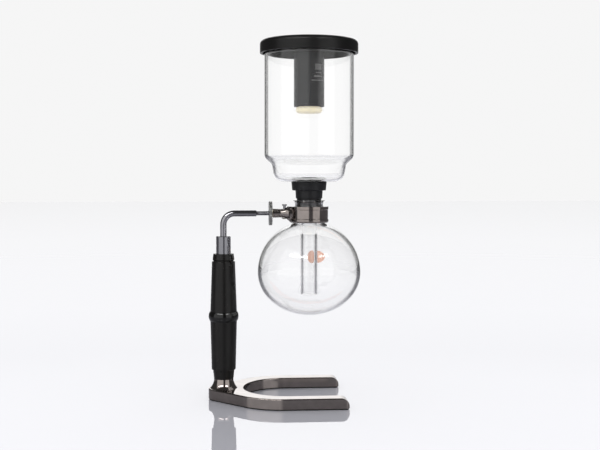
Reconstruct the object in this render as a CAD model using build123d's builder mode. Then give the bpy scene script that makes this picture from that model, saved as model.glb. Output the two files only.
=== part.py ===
"""Siphon coffee maker: a horseshoe stand with a gripped post, a round lower flask held by a
hinged clamp, an upper chamber on a rubber stopper, and a lid whose sleeve stows the filter.

Frame: millimetres, +Z up, origin on the table under the axis that flask, chamber and lid share.
The post stands on the -X side.
"""
from build123d import *
import math
import os

os.makedirs("parts", exist_ok=True)

# ---------------------------------------------------------------- driving dimensions
FIT = 0.3                    # gap between faces that move past each other
RUNNING = 0.06               # radial clearance of a shaft that turns in its hole

post_x = -81.0               # the post's axis

# stand base
pad_thickness = 1.2
base_top = 10.7
heel_radius = 14.4
bend_outer_radius = 54.0     # outer bend of the horseshoe, and half its width
bend_outer_x = -24.7
bend_inner_radius = 40.4     # inner bend, and half the gap between the arms
bend_inner_x = -22.0
arm_tip_x = 33.0
arm_tip_rounding = 8.0
arm_corner_radius = 3.0
base_edge_radius = 1.0
pad_inset = 0.9
boss_foot_height = 9.4       # where the heel flares into its boss
boss_waist_radius = 11.3
boss_waist_height = 12.8
boss_top_radius = 9.15
boss_top = 19.6

# tie screw through the post
screw_radius = 2.5
screw_head_radius = 4.5
screw_head_bottom = 2.2
screw_head_height = 4.0
screw_socket_flats = 4.0
screw_socket_depth = 2.2
screw_top = 80.0
washer_radius = 4.7
washer_thickness = 1.0
counterbore_radius = 5.0
coupling_radius = 5.2
coupling_bottom = 63.0
coupling_top = 95.0

# post, from the boss up
lower_collar_radii = (9.2, 10.15)      # bottom, top
lower_collar_top = 28.4
lower_grip_radii = (11.35, 12.5)
ring_bottom_z = 74.4
ring_top_z = 83.4
grip_ring_radius = 14.2
grip_edge_radius = 0.5
grip_shoulder_radius = 0.8
upper_grip_radii = (12.5, 10.85)
upper_grip_top = 131.0
top_collar_radii = (10.3, 9.6)
top_collar_groove = 0.7
top_collar_top = 138.0
ferrule_radius = 6.9
ferrule_top = 154.6
ferrule_chamfer = 0.5
ferrule_spigot_radius = 5.0
ferrule_spigot_bottom = 118.0
grub_radius = 1.5
grub_height = 146.0

# bent support rod
rod_radius = 3.0
rod_bottom = 84.0
rod_height = 176.0
rod_bend_radius = 10.5
rod_shoulder_x = -50.0
thread_radius = 2.2
thread_root_radius = 1.85
thread_pitch = 1.0
thread_end_x = -35.2
rod_tip_radius = 1.7
eye_radius = 2.7
eye_half_height = 1.2

# clamp nut and cone
nut_radius = 11.4
nut_left_x = -38.2
nut_thickness = 3.2
nut_knurls = 48
nut_chamfer = 0.4
knurl_radius = 0.45
cone_flange_radius = 3.5
cone_flange_left_x = -36.4
cone_nose_x = -34.35
cone_nose_radii = (3.5, 2.6)
cone_nose_length = 2.3

# clamp jaws
neck_radius = 13.25
clamp_bottom = 167.1
clamp_top = 182.4
clamp_radius = 18.5
clamp_bore_radius = 14.25
clamp_band_step = 0.45
clamp_band_heights = (171.0, 179.3)
clamp_foot_radius = 1.6
clamp_bore_chamfer = 2.2
jaw_half_gap = 0.4
pin_x = -23.3
pin_radius = 1.3
pin_bottom = 170.5
pin_head_bottom = 183.2
pin_head_radius = 2.3
pin_head_thickness = 1.4
pin_head_rounding = 0.6
clip_radius = 2.6
clip_bottom = 170.9
clip_thickness = 0.6
knuckle_radius = 2.8
knuckle_pocket_radius = 3.15
knuckle_levels = ((1.35, 2.65), (2.8, 4.1))   # inner and outer knuckle, from the rod's axis
tail_left_x = -34.35
tail_mouth_radius = 4.45
tail_waist_x = -28.5
tail_waist_radius = 4.1
tail_flare_x = -18.4
tail_flare_radius = 8.2
tail_root_x = -15.6
tail_bore_radii = (3.72, 2.9)                 # at the mouth, at the pocket
tail_wedge_angle = 6.5                        # room for the tails to close as the jaws open
liner_radius = 13.55
liner_heights = (170.2, 181.2)

# flask
bowl_radius = 48.8
bowl_height = 120.0
bowl_drop = 40.7             # from the widest height down to the bottom
flask_wall = 1.7
neck_wall = 1.5
neck_fillet = 2.5
lip_start = 184.0
lip_radius = 15.5
lip_top = 188.4
lip_edge = 0.75

# stopper
stopper_top = 206.0
stopper_flange_radii = (16.0, 16.8)           # bottom, top
stopper_flange_bottom = 197.6
stopper_body_radii = (12.5, 12.9)
stopper_body_bottom = 190.0
stopper_plug_radii = (10.9, 11.35)
stopper_bottom = 170.5
stopper_edge_radius = 0.7
tube_radius = 8.0

# chamber
chamber_wall = 1.8
chamber_rim_radius = 0.45 * chamber_wall
chamber_radius = 42.25
chamber_top = 333.4
shoulder_height = 228.6
well_top_radius = 35.2
well_top = 222.4
well_bottom_radius = 32.6
chamber_corner_radii = (7.0, 4.5, 9.5, 1.0)
tube_bottom = 99.0

# lid
lid_radius = 46.35
lid_rim = 326.7
lid_top = 339.0
lid_edge_radius = 4.2
lid_rim_radius = 0.5
sleeve_edge_radius = 0.4
lid_skin = 2.5
skirt_wall = 2.4
seat_ceiling = 333.8
plug_radii = (37.4, 39.9)    # inner, outer
plug_bottom = 325.1
sleeve_radii = (12.8, 14.4)
sleeve_bottom = 276.3
sleeve_flange_radius = 19.0
sleeve_flange_thickness = 2.0

# filter, stowed in the sleeve
cloth_radius = 12.4
cloth_bottom = 270.4
cloth_top = 276.6
cloth_thickness = 0.9
cloth_mouth_radius = 5.5
disc_radius = 11.4
disc_thickness = 0.8
disc_hole_rings = ((4.2, 6), (7.0, 12), (9.6, 18))    # radius and number of holes
disc_hole_radius = 0.9
filter_post_radius = 1.6
filter_post_top = 281.0
filter_post_rounding = 0.5
spring_radius = 3.0
spring_wire_radius = 0.4
spring_pitch = 1.6
spring_height = 16.0
bead_radius = 1.1
bead_step = 2.25             # the beads all but touch, the links between them are hidden
bead_count = 34
chain_coil_radius = 8.0
chain_lead = 12.0            # length over which the chain winds outwards
chain_climb = 0.155          # rise for each millimetre along the coil
hook_wire_radius = 0.55
hook_bend_radius = 2.2
hook_leg = 4.0

# ---------------------------------------------------------------- shared planes and profiles
clamp_axis = Axis((0, 0, rod_height), (1, 0, 0))
post_axis = Axis((post_x, 0, 0), (0, 0, 1))
post_plane = Plane(origin=(post_x, 0, 0), x_dir=(1, 0, 0), z_dir=(0, -1, 0))


def horseshoe(inset):
    """The base's closed outline, pulled in by inset.

    The heel's arc and the outer bend touch one common tangent, the flank.
    """
    heel = heel_radius - inset
    outer = bend_outer_radius - inset
    inner = bend_inner_radius + inset
    tip = arm_tip_x - inset
    flank_angle = math.degrees(math.acos((outer - heel) / (bend_outer_x - post_x)))
    with BuildLine() as outline:
        heel_edge = CenterArc((post_x, 0), heel, 180, flank_angle)
        outer_bend = CenterArc((bend_outer_x, 0), outer, 180 + flank_angle, 90 - flank_angle)
        Line(heel_edge @ 1, outer_bend @ 0)
        arm_outside = Line(outer_bend @ 1, (tip, -outer))
        arm_end = Line(arm_outside @ 1, (tip, -inner))
        inner_bend = CenterArc((bend_inner_x, 0), inner, 270, -90)
        Line(arm_end @ 1, inner_bend @ 0)
        mirror(about=Plane.XZ)
    return outline.line


def profile(points, plane=Plane.XZ):
    """The face inside a closed run of straight lines through points on plane."""
    with BuildSketch(plane) as section:
        with BuildLine():
            Polyline(*points, close=True)
        make_face()
    return section.sketch


# ---------------------------------------------------------------- stand base
with BuildPart() as base_frame:
    with BuildSketch(Plane.XY.offset(pad_thickness)):
        make_face(horseshoe(0))
    extrude(amount=base_top - pad_thickness)
    tip_corners = base_frame.edges().filter_by(Axis.Z).group_by(Axis.X)[-1]
    fillet(tip_corners, arm_corner_radius)
    fillet(base_frame.faces().sort_by(Axis.Z)[-1].edges(), base_edge_radius)
    # the arms' ends are rounded over, seen from the side
    with BuildSketch(Plane.XZ):
        with BuildLine():
            Polyline(
                (post_x - 2 * heel_radius, pad_thickness),
                (arm_tip_x, pad_thickness),
                (arm_tip_x, base_top),
                (post_x - 2 * heel_radius, base_top),
                close=True,
            )
        side_view = make_face()
        fillet(side_view.vertices().group_by(Axis.X)[-1].sort_by(Axis.Y)[-1], arm_tip_rounding)
    extrude(amount=bend_outer_radius + 1, both=True, mode=Mode.INTERSECT)
    # boss under the post
    with BuildSketch(post_plane):
        with BuildLine():
            flare = ThreePointArc(
                (heel_radius, boss_foot_height),
                (boss_waist_radius, boss_waist_height),
                (boss_top_radius, boss_top),
            )
            boss_rest = Polyline(
                flare @ 1, (0, boss_top), (0, pad_thickness), (heel_radius, pad_thickness)
            )
            Line(boss_rest @ 1, flare @ 0)
        make_face()
    revolve(axis=post_axis)
    with BuildSketch(Plane.XY.offset(boss_top)):
        with Locations((post_x, 0)):
            Circle(screw_radius + FIT)
    extrude(amount=-boss_top, mode=Mode.SUBTRACT)
    with BuildSketch(Plane.XY):
        with Locations((post_x, 0)):
            Circle(counterbore_radius)
    extrude(amount=screw_head_bottom + screw_head_height + washer_thickness, mode=Mode.SUBTRACT)
base_frame.part.label = "base_frame"
export_step(base_frame.part, "parts/base_frame.step")

with BuildPart() as base_pad:
    with BuildSketch(Plane.XY):
        make_face(horseshoe(pad_inset))
        with Locations((post_x, 0)):
            Circle(counterbore_radius, mode=Mode.SUBTRACT)
    extrude(amount=pad_thickness)
    fillet(base_pad.edges().filter_by(Axis.Z).group_by(Axis.X)[-1], arm_corner_radius - pad_inset)
base_pad.part.label = "base_pad"
export_step(base_pad.part, "parts/base_pad.step")

# ---------------------------------------------------------------- tie screw, washer, coupling
with BuildPart() as base_screw:
    with BuildSketch(Plane.XY.offset(screw_head_bottom)):
        with Locations((post_x, 0)):
            Circle(screw_head_radius)
    extrude(amount=screw_head_height)
    with BuildSketch(Plane.XY.offset(screw_head_bottom)):
        with Locations((post_x, 0)):
            Circle(screw_radius)
    extrude(amount=screw_top - screw_head_bottom)
    with BuildSketch(Plane.XY.offset(screw_head_bottom)):
        with Locations((post_x, 0)):
            RegularPolygon(screw_socket_flats / 2, 6, major_radius=False)
    extrude(amount=screw_socket_depth, mode=Mode.SUBTRACT)
base_screw.part.label = "base_screw"
export_step(base_screw.part, "parts/base_screw.step")

with BuildPart() as base_washer:
    with BuildSketch(Plane.XY.offset(screw_head_bottom + screw_head_height)):
        with Locations((post_x, 0)):
            Circle(washer_radius)
            Circle(screw_radius + RUNNING, mode=Mode.SUBTRACT)
    extrude(amount=washer_thickness)
base_washer.part.label = "base_washer"
export_step(base_washer.part, "parts/base_washer.step")

with BuildPart() as tie_coupling:
    section = profile(
        (
            (screw_radius, coupling_bottom),
            (coupling_radius, coupling_bottom),
            (coupling_radius, coupling_top),
            (rod_radius, coupling_top),
            (rod_radius, rod_bottom),
            (screw_radius, rod_bottom),
        ),
        post_plane,
    )
    revolve(section, axis=post_axis)
tie_coupling.part.label = "tie_coupling"
export_step(tie_coupling.part, "parts/tie_coupling.step")

# ---------------------------------------------------------------- post, from the boss up
with BuildPart() as lower_collar:
    section = profile(
        (
            (screw_radius + FIT, boss_top),
            (lower_collar_radii[0], boss_top),
            (lower_collar_radii[1], lower_collar_top),
            (screw_radius + FIT, lower_collar_top),
        ),
        post_plane,
    )
    revolve(section, axis=post_axis)
lower_collar.part.label = "lower_collar"
export_step(lower_collar.part, "parts/lower_collar.step")

with BuildPart() as lower_grip:
    section = profile(
        (
            (screw_radius + FIT, lower_collar_top),
            (lower_grip_radii[0], lower_collar_top),
            (lower_grip_radii[1], ring_bottom_z),
            (coupling_radius, ring_bottom_z),
            (coupling_radius, coupling_bottom),
            (screw_radius + FIT, coupling_bottom),
        ),
        post_plane,
    )
    revolve(section, axis=post_axis)
    fillet(lower_grip.edges().group_by(Axis.Z)[0].sort_by(SortBy.RADIUS)[-1], grip_edge_radius)
lower_grip.part.label = "lower_grip"
export_step(lower_grip.part, "parts/lower_grip.step")

with BuildPart() as grip_ring:
    with BuildSketch(post_plane):
        with BuildLine():
            ring_belly = ThreePointArc(
                (upper_grip_radii[0] + 0.4, ring_bottom_z),
                (grip_ring_radius, (ring_bottom_z + ring_top_z) / 2),
                (upper_grip_radii[0] + 0.4, ring_top_z),
            )
            Polyline(
                ring_belly @ 1,
                (coupling_radius, ring_top_z),
                (coupling_radius, ring_bottom_z),
                ring_belly @ 0,
            )
        make_face()
    revolve(axis=post_axis)
grip_ring.part.label = "grip_ring"
export_step(grip_ring.part, "parts/grip_ring.step")

with BuildPart() as upper_grip:
    section = profile(
        (
            (coupling_radius, ring_top_z),
            (upper_grip_radii[0], ring_top_z),
            (upper_grip_radii[1], upper_grip_top),
            (ferrule_spigot_radius, upper_grip_top),
            (ferrule_spigot_radius, ferrule_spigot_bottom),
            (rod_radius, ferrule_spigot_bottom),
            (rod_radius, coupling_top),
            (coupling_radius, coupling_top),
        ),
        post_plane,
    )
    revolve(section, axis=post_axis)
    fillet(upper_grip.edges().group_by(Axis.Z)[-1].sort_by(SortBy.RADIUS)[-1], grip_shoulder_radius)
upper_grip.part.label = "upper_grip"
export_step(upper_grip.part, "parts/upper_grip.step")

with BuildPart() as top_collar:
    section = profile(
        (
            (ferrule_spigot_radius, upper_grip_top),
            (top_collar_radii[0] - top_collar_groove, upper_grip_top),
            (top_collar_radii[0] - top_collar_groove, upper_grip_top + top_collar_groove),
            (top_collar_radii[0], upper_grip_top + 2 * top_collar_groove),
            (top_collar_radii[1], top_collar_top),
            (ferrule_spigot_radius, top_collar_top),
        ),
        post_plane,
    )
    revolve(section, axis=post_axis)
top_collar.part.label = "top_collar"
export_step(top_collar.part, "parts/top_collar.step")

with BuildPart() as rod_ferrule:
    section = profile(
        (
            (rod_radius, ferrule_spigot_bottom),
            (ferrule_spigot_radius, ferrule_spigot_bottom),
            (ferrule_spigot_radius, top_collar_top),
            (ferrule_radius, top_collar_top),
            (ferrule_radius, ferrule_top),
            (rod_radius, ferrule_top),
        ),
        post_plane,
    )
    revolve(section, axis=post_axis)
    chamfer(rod_ferrule.edges().group_by(Axis.Z)[-1].sort_by(SortBy.RADIUS)[-1], ferrule_chamfer)
    # threaded hole for the grub screw, on the side away from the flask
    with BuildSketch(Plane(origin=(post_x, 0, grub_height), z_dir=(-1, 0, 0))):
        Circle(grub_radius)
    extrude(amount=2 * ferrule_radius, mode=Mode.SUBTRACT)
rod_ferrule.part.label = "rod_ferrule"
export_step(rod_ferrule.part, "parts/rod_ferrule.step")

with BuildPart() as grub_screw:
    with BuildSketch(Plane(origin=(post_x - rod_radius, 0, grub_height), z_dir=(-1, 0, 0))):
        Circle(grub_radius)
    extrude(amount=ferrule_radius - rod_radius - FIT)
    with BuildSketch(Plane(origin=(post_x - ferrule_radius, 0, grub_height), z_dir=(1, 0, 0))):
        RegularPolygon(grub_radius / 2, 6)
    extrude(amount=grub_radius, mode=Mode.SUBTRACT)
grub_screw.part.label = "grub_screw"
export_step(grub_screw.part, "parts/grub_screw.step")

# ---------------------------------------------------------------- bent support rod
with BuildPart() as support_rod:
    with BuildLine():
        FilletPolyline(
            (post_x, 0, rod_bottom),
            (post_x, 0, rod_height),
            (rod_shoulder_x, 0, rod_height),
            radius=rod_bend_radius,
        )
    with BuildSketch(Plane.XY.offset(rod_bottom)):
        with Locations((post_x, 0)):
            Circle(rod_radius)
    sweep()
    # threaded stretch, its crests drawn as rings, then the turned-down tip
    thread_points = [(rod_shoulder_x, rod_height)]
    thread_points.append((rod_shoulder_x, rod_height + thread_root_radius))
    turns = int((thread_end_x - rod_shoulder_x) / thread_pitch)
    for turn in range(turns):
        crest_x = rod_shoulder_x + (turn + 0.5) * thread_pitch
        thread_points.append((crest_x, rod_height + thread_radius))
        thread_points.append((crest_x + thread_pitch / 2, rod_height + thread_root_radius))
    thread_points.append((thread_end_x, rod_height + rod_tip_radius))
    thread_points.append((pin_x, rod_height + rod_tip_radius))
    thread_points.append((pin_x, rod_height))
    revolve(profile(thread_points), axis=clamp_axis)
    # flattened eye around the hinge pin
    with BuildSketch(Plane.XY.offset(rod_height - rod_radius)):
        with Locations((pin_x, 0)):
            Circle(knuckle_pocket_radius)
    extrude(amount=rod_radius - eye_half_height, mode=Mode.SUBTRACT)
    with BuildSketch(Plane.XY.offset(rod_height + eye_half_height)):
        with Locations((pin_x, 0)):
            Circle(knuckle_pocket_radius)
    extrude(amount=rod_radius, mode=Mode.SUBTRACT)
    with BuildSketch(Plane.XY.offset(rod_height - eye_half_height)):
        with Locations((pin_x, 0)):
            Circle(eye_radius)
    extrude(amount=2 * eye_half_height)
    with BuildSketch(Plane.XY.offset(rod_height - eye_half_height)):
        with Locations((pin_x, 0)):
            Circle(pin_radius)
    extrude(amount=2 * eye_half_height, mode=Mode.SUBTRACT)
support_rod.part.label = "support_rod"
export_step(support_rod.part, "parts/support_rod.step")

# ---------------------------------------------------------------- clamp nut and cone
with BuildPart() as clamp_nut:
    section = profile(
        (
            (nut_left_x, rod_height + thread_radius + RUNNING),
            (nut_left_x, rod_height + nut_radius),
            (nut_left_x + nut_thickness, rod_height + nut_radius),
            (nut_left_x + nut_thickness, rod_height + cone_flange_radius + RUNNING),
            (cone_flange_left_x - FIT, rod_height + cone_flange_radius + RUNNING),
            (cone_flange_left_x - FIT, rod_height + thread_radius + RUNNING),
        )
    )
    revolve(section, axis=clamp_axis)
    rim_edges = clamp_nut.edges().filter_by(GeomType.CIRCLE).sort_by(SortBy.RADIUS)[-2:]
    chamfer(rim_edges, nut_chamfer)
    with BuildSketch(Plane(origin=(nut_left_x, 0, rod_height), z_dir=(1, 0, 0))):
        with PolarLocations(nut_radius, nut_knurls):
            Circle(knurl_radius)
    extrude(amount=nut_thickness, mode=Mode.SUBTRACT)
clamp_nut.part.label = "clamp_nut"
export_step(clamp_nut.part, "parts/clamp_nut.step")

with BuildPart() as clamp_cone:
    section = profile(
        (
            (cone_flange_left_x, rod_height + thread_radius + RUNNING),
            (cone_flange_left_x, rod_height + cone_flange_radius),
            (cone_nose_x, rod_height + cone_nose_radii[0]),
            (cone_nose_x + cone_nose_length, rod_height + cone_nose_radii[1]),
            (cone_nose_x + cone_nose_length, rod_height + thread_radius + RUNNING),
        )
    )
    revolve(section, axis=clamp_axis)
clamp_cone.part.label = "clamp_cone"
export_step(clamp_cone.part, "parts/clamp_cone.step")


# ---------------------------------------------------------------- clamp jaws, pin and liners
def make_jaw(side):
    """Makes one half of the clamp; side is -1 for the front half and 1 for the rear half.

    A half ring round the flask's neck runs into a half trumpet round the rod's tip. Two
    knuckles turn on the hinge pin, and the other half's knuckles lie between them.
    """
    with BuildPart() as jaw:
        with BuildSketch(Plane.XZ):
            with BuildLine():
                Polyline(
                    (clamp_bore_radius + clamp_bore_chamfer, clamp_bottom),
                    (clamp_radius, clamp_bottom),
                    (clamp_radius, clamp_band_heights[0] - clamp_band_step),
                    (clamp_radius - clamp_band_step, clamp_band_heights[0]),
                    (clamp_radius - clamp_band_step, clamp_band_heights[1]),
                    (clamp_radius, clamp_band_heights[1] + clamp_band_step),
                    (clamp_radius, clamp_top),
                    (clamp_bore_radius, clamp_top),
                    (clamp_bore_radius, clamp_bottom + clamp_bore_chamfer),
                    close=True,
                )
            ring_face = make_face()
            foot = ring_face.vertices().sort_by_distance((clamp_radius, clamp_bottom, 0))[0]
            fillet(foot, clamp_foot_radius)
        revolve(axis=Axis.Z)
        # trumpet round the rod's tip, ending in a rib against the ring
        with BuildSketch(Plane.XZ):
            with BuildLine():
                waist = Line(
                    (tail_left_x, rod_height + tail_mouth_radius),
                    (tail_waist_x, rod_height + tail_waist_radius),
                )
                flare = TangentArc(
                    waist @ 1,
                    (tail_flare_x, rod_height + tail_flare_radius),
                    tangent=waist % 1,
                )
                Polyline(
                    flare @ 1,
                    (tail_root_x, rod_height + tail_flare_radius),
                    (tail_root_x, rod_height),
                    (tail_left_x, rod_height),
                    waist @ 0,
                )
            make_face()
        revolve(axis=clamp_axis)
        with BuildSketch(Plane.XY.offset(clamp_bottom)):
            Circle(clamp_bore_radius)
        extrude(amount=clamp_top - clamp_bottom + rod_radius, mode=Mode.SUBTRACT)
        # tapered bore of the trumpet's mouth
        section = profile(
            (
                (tail_left_x, rod_height),
                (tail_left_x, rod_height + tail_bore_radii[0]),
                (pin_x, rod_height + tail_bore_radii[1]),
                (pin_x, rod_height),
            )
        )
        revolve(section, axis=clamp_axis, mode=Mode.SUBTRACT)
        # pocket for the rod's eye and the other half's knuckles
        with BuildSketch(Plane.XY.offset(clamp_bottom)):
            with Locations((pin_x, 0)):
                Circle(knuckle_pocket_radius)
        extrude(amount=clamp_top - clamp_bottom, mode=Mode.SUBTRACT)
        # keep this half: a flat joint at the ring, a wedge between the tails
        wedge_reach = (pin_x - tail_left_x) * math.tan(math.radians(tail_wedge_angle))
        far_x = clamp_radius + 1
        far_y = side * (clamp_radius + 1)
        with BuildSketch(Plane.XY.offset(clamp_bottom)):
            with BuildLine():
                Polyline(
                    (tail_left_x - 1, far_y),
                    (tail_left_x - 1, side * (jaw_half_gap + wedge_reach)),
                    (tail_left_x, side * (jaw_half_gap + wedge_reach)),
                    (pin_x, side * jaw_half_gap),
                    (far_x, side * jaw_half_gap),
                    (far_x, far_y),
                    close=True,
                )
            make_face()
        extrude(amount=clamp_top - clamp_bottom, mode=Mode.INTERSECT)
        # knuckles: the front half has upper inner and lower outer, the rear half the others
        for level, upper in ((0, side < 0), (1, side > 0)):
            low, high = knuckle_levels[level]
            bottom = rod_height + low if upper else rod_height - high
            with BuildSketch(Plane.XY.offset(bottom)):
                with Locations((pin_x, 0)):
                    Circle(knuckle_radius)
                with BuildLine():
                    Polyline(
                        (pin_x, side * jaw_half_gap),
                        (tail_flare_x, side * jaw_half_gap),
                        (tail_flare_x, side * knuckle_radius),
                        (pin_x, side * knuckle_radius),
                        close=True,
                    )
                make_face()
            extrude(amount=high - low)
        with BuildSketch(Plane.XY.offset(clamp_bottom)):
            with Locations((pin_x, 0)):
                Circle(pin_radius + RUNNING)
        extrude(amount=clamp_top - clamp_bottom, mode=Mode.SUBTRACT)
    return jaw


jaw_front = make_jaw(-1)
jaw_front.part.label = "jaw_front"
export_step(jaw_front.part, "parts/jaw_front.step")

jaw_rear = make_jaw(1)
jaw_rear.part.label = "jaw_rear"
export_step(jaw_rear.part, "parts/jaw_rear.step")


def make_liner(side):
    """Makes the rubber strip that lines one jaw; side as for the jaws."""
    with BuildPart() as liner:
        with BuildSketch(Plane.XY.offset(liner_heights[0])):
            Circle(clamp_bore_radius)
            Circle(liner_radius, mode=Mode.SUBTRACT)
            with Locations((0, side * (clamp_bore_radius + 2 * jaw_half_gap))):
                Rectangle(4 * clamp_bore_radius, 2 * clamp_bore_radius, mode=Mode.INTERSECT)
        extrude(amount=liner_heights[1] - liner_heights[0])
    return liner


liner_front = make_liner(-1)
liner_front.part.label = "liner_front"
export_step(liner_front.part, "parts/liner_front.step")

liner_rear = make_liner(1)
liner_rear.part.label = "liner_rear"
export_step(liner_rear.part, "parts/liner_rear.step")

with BuildPart() as jaw_pin:
    with BuildSketch(Plane.XY.offset(pin_bottom)):
        with Locations((pin_x, 0)):
            Circle(pin_radius)
    extrude(amount=pin_head_bottom - pin_bottom)
    with BuildSketch(Plane.XY.offset(pin_head_bottom)):
        with Locations((pin_x, 0)):
            Circle(pin_head_radius)
    extrude(amount=pin_head_thickness)
    fillet(jaw_pin.edges().group_by(Axis.Z)[-1], pin_head_rounding)
jaw_pin.part.label = "jaw_pin"
export_step(jaw_pin.part, "parts/jaw_pin.step")

with BuildPart() as pin_clip:
    with BuildSketch(Plane.XY.offset(clip_bottom)):
        with Locations((pin_x, 0)):
            Circle(clip_radius)
            Circle(pin_radius, mode=Mode.SUBTRACT)
        with Locations((pin_x - clip_radius, 0)):
            Rectangle(2 * clip_radius, pin_radius, mode=Mode.SUBTRACT)
    extrude(amount=clip_thickness)
pin_clip.part.label = "pin_clip"
export_step(pin_clip.part, "parts/pin_clip.step")

# ---------------------------------------------------------------- flask
with BuildPart() as flask:
    with BuildSketch(Plane.XZ):
        neck_join = bowl_height + math.sqrt(bowl_radius**2 - neck_radius**2)
        with BuildLine():
            bowl_low = EllipticalCenterArc(
                (0, bowl_height), bowl_radius, bowl_drop, start_angle=270, arc_size=90
            )
            bowl_high = CenterArc(
                (0, bowl_height), bowl_radius, 0, math.degrees(math.acos(neck_radius / bowl_radius))
            )
            neck_side = Line(bowl_high @ 1, (neck_radius, lip_start))
            lip_flare = TangentArc(
                neck_side @ 1, (lip_radius - lip_edge, lip_top - lip_edge), tangent=(0, 1)
            )
            Polyline(
                lip_flare @ 1,
                (lip_radius - lip_edge, lip_top),
                (0, lip_top),
                bowl_low @ 0,
            )
        outer_face = make_face()
        shoulder = outer_face.vertices().sort_by_distance((neck_radius, neck_join, 0))[0]
        fillet(shoulder, neck_fillet)
    revolve(axis=Axis.Z)
    # the hollow
    inner_radius = bowl_radius - flask_wall
    inner_neck = neck_radius - neck_wall
    with BuildSketch(Plane.XZ):
        with BuildLine():
            hollow_low = EllipticalCenterArc(
                (0, bowl_height), inner_radius, bowl_drop - flask_wall, start_angle=270, arc_size=90
            )
            hollow_high = CenterArc(
                (0, bowl_height), inner_radius, 0, math.degrees(math.acos(inner_neck / inner_radius))
            )
            hollow_side = Line(hollow_high @ 1, (inner_neck, lip_start))
            hollow_flare = TangentArc(
                hollow_side @ 1, (lip_radius - lip_edge - neck_wall, lip_top), tangent=(0, 1)
            )
            Polyline(hollow_flare @ 1, (0, lip_top), hollow_low @ 0)
        inner_face = make_face()
        hollow_join = bowl_height + math.sqrt(inner_radius**2 - inner_neck**2)
        inner_shoulder = inner_face.vertices().sort_by_distance((inner_neck, hollow_join, 0))[0]
        fillet(inner_shoulder, neck_fillet + neck_wall)
    revolve(axis=Axis.Z, mode=Mode.SUBTRACT)
    # fire-polished bead at the lip
    with BuildSketch(Plane.XZ):
        with Locations((lip_radius - lip_edge, lip_top - lip_edge)):
            Circle(lip_edge)
    revolve(axis=Axis.Z)
flask.part.label = "flask"
export_step(flask.part, "parts/flask.step")

# ---------------------------------------------------------------- stopper and chamber
with BuildPart() as stopper:
    section = profile(
        (
            (tube_radius, stopper_bottom),
            (stopper_plug_radii[0], stopper_bottom),
            (stopper_plug_radii[1], stopper_body_bottom),
            (stopper_body_radii[0], stopper_body_bottom),
            (stopper_body_radii[1], stopper_flange_bottom),
            (stopper_flange_radii[0], stopper_flange_bottom),
            (stopper_flange_radii[1], stopper_top),
            (tube_radius + 1.4, stopper_top),
            (tube_radius, stopper_top - 1.4),
        )
    )
    revolve(section, axis=Axis.Z)
    rounded_rims = stopper.edges().filter_by(GeomType.CIRCLE).filter_by(
        lambda edge: edge.radius in stopper_flange_radii
    )
    fillet(rounded_rims, stopper_edge_radius)
stopper.part.label = "stopper"
export_step(stopper.part, "parts/stopper.step")

with BuildPart() as chamber:
    with BuildSketch(Plane.XZ):
        with BuildLine():
            FilletPolyline(
                (chamber_radius, chamber_top),
                (chamber_radius, shoulder_height),
                (well_top_radius, well_top),
                (well_bottom_radius, stopper_top),
                (tube_radius, stopper_top),
                (tube_radius, tube_bottom),
                radius=chamber_corner_radii,
            )
            offset(amount=chamber_wall, side=Side.RIGHT)
        make_face()
    revolve(axis=Axis.Z)
    fillet(chamber.edges().group_by(Axis.Z)[-1], chamber_rim_radius)
chamber.part.label = "chamber"
export_step(chamber.part, "parts/chamber.step")

# ---------------------------------------------------------------- lid
with BuildPart() as lid_cap:
    skirt_inner = lid_radius - skirt_wall
    with BuildSketch(Plane.XZ):
        with BuildLine():
            Polyline(
                (0, lid_top),
                (lid_radius, lid_top),
                (lid_radius, lid_rim),
                (skirt_inner, lid_rim),
                (skirt_inner, seat_ceiling),
                (plug_radii[1], seat_ceiling),
                (plug_radii[1], plug_bottom),
                (plug_radii[0], plug_bottom),
                (plug_radii[0], lid_top - lid_skin),
                (0, lid_top - lid_skin),
                close=True,
            )
        cap_face = make_face()
        crown = cap_face.vertices().sort_by_distance((lid_radius, lid_top, 0))[0]
        fillet(crown, lid_edge_radius)
    revolve(axis=Axis.Z)
    fillet(lid_cap.edges().group_by(Axis.Z)[0], lid_rim_radius)
lid_cap.part.label = "lid_cap"
export_step(lid_cap.part, "parts/lid_cap.step")

with BuildPart() as lid_sleeve:
    sleeve_top = lid_top - lid_skin
    section = profile(
        (
            (sleeve_radii[0], sleeve_bottom),
            (sleeve_radii[1], sleeve_bottom),
            (sleeve_radii[1], sleeve_top - sleeve_flange_thickness),
            (sleeve_flange_radius, sleeve_top - sleeve_flange_thickness),
            (sleeve_flange_radius, sleeve_top),
            (0, sleeve_top),
            (0, sleeve_top - sleeve_flange_thickness),
            (sleeve_radii[0], sleeve_top - sleeve_flange_thickness),
        )
    )
    revolve(section, axis=Axis.Z)
    fillet(lid_sleeve.edges().group_by(Axis.Z)[0], sleeve_edge_radius)
lid_sleeve.part.label = "lid_sleeve"
export_step(lid_sleeve.part, "parts/lid_sleeve.step")

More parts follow.
